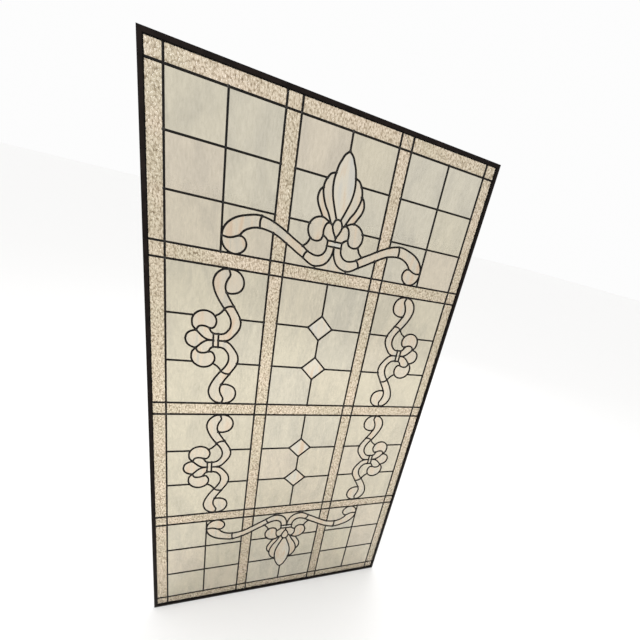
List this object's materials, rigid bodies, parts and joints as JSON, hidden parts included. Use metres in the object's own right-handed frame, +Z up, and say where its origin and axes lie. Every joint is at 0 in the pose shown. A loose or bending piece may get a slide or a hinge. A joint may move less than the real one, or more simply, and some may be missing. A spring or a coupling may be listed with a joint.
{
  "type": "leaded glass window panel",
  "caption": "Tall clear leaded glass panel with textured borders, fleur and ribbon ornaments at top and bottom, side scrolls and diamonds, in a slim dark metal channel frame.",
  "frame": {"origin": "centre of the frame's underside, midway through its depth", "axes": "+X to the right as seen from the front, +Y to the back, +Z up"},
  "size_m": [0.914, 0.01, 1.6846],
  "materials": {
    "frame_metal": "dark brown-black patinated metal channel, satin",
    "lead": "near-black patinated lead came with rounded, soldered faces",
    "textured_glass": "hammered clear glass with a faint warm tint",
    "streaky_glass": "clear glass with faint upright waves",
    "clear_glass": "smooth clear glass",
    "bevelled_glass": "clear glass with bevelled edges"
  },
  "bodies": {
    "root": {"frame_head": "frame_metal", "frame_sill": "frame_metal", "frame_jamb_left": "frame_metal", "frame_jamb_right": "frame_metal", "lead_came": "lead", "textured_surround": "textured_glass", "top_fleur_leaf": "bevelled_glass", "top_fleur_base": "clear_glass", "top_clasp": "bevelled_glass", "top_under_clasp": "clear_glass", "top_fleur_petals_left": "clear_glass", "top_lobe_left": "clear_glass", "top_ribbon_left": "clear_glass", "top_under_ribbon_inner_left": "streaky_glass", "top_under_ribbon_outer_left": "streaky_glass", "top_side_field_left": "streaky_glass", "top_fleur_petals_right": "clear_glass", "top_lobe_right": "clear_glass", "top_ribbon_right": "clear_glass", "top_under_ribbon_inner_right": "streaky_glass", "top_under_ribbon_outer_right": "streaky_glass", "top_side_field_right": "streaky_glass", "top_centre_field": "streaky_glass", "bottom_fleur_leaf": "bevelled_glass", "bottom_fleur_base": "clear_glass", "bottom_clasp": "bevelled_glass", "bottom_under_clasp": "clear_glass", "bottom_fleur_petals_left": "clear_glass", "bottom_lobe_left": "clear_glass", "bottom_ribbon_left": "clear_glass", "bottom_under_ribbon_inner_left": "streaky_glass", "bottom_under_ribbon_outer_left": "streaky_glass", "bottom_side_field_left": "streaky_glass", "bottom_fleur_petals_right": "clear_glass", "bottom_lobe_right": "clear_glass", "bottom_ribbon_right": "clear_glass", "bottom_under_ribbon_inner_right": "streaky_glass", "bottom_under_ribbon_outer_right": "streaky_glass", "bottom_side_field_right": "streaky_glass", "bottom_centre_field": "streaky_glass", "upper_scroll_left": "clear_glass", "upper_border_field_left": "streaky_glass", "upper_band_field_left": "streaky_glass", "upper_scroll_right": "clear_glass", "upper_border_field_right": "streaky_glass", "upper_band_field_right": "streaky_glass", "upper_centre_field": "streaky_glass", "upper_diamond_high": "bevelled_glass", "upper_diamond_low": "bevelled_glass", "lower_scroll_left": "clear_glass", "lower_border_field_left": "streaky_glass", "lower_band_field_left": "streaky_glass", "lower_scroll_right": "clear_glass", "lower_border_field_right": "streaky_glass", "lower_band_field_right": "streaky_glass", "lower_centre_field": "streaky_glass", "lower_diamond_high": "bevelled_glass", "lower_diamond_low": "bevelled_glass"}
  },
  "joints": []
}
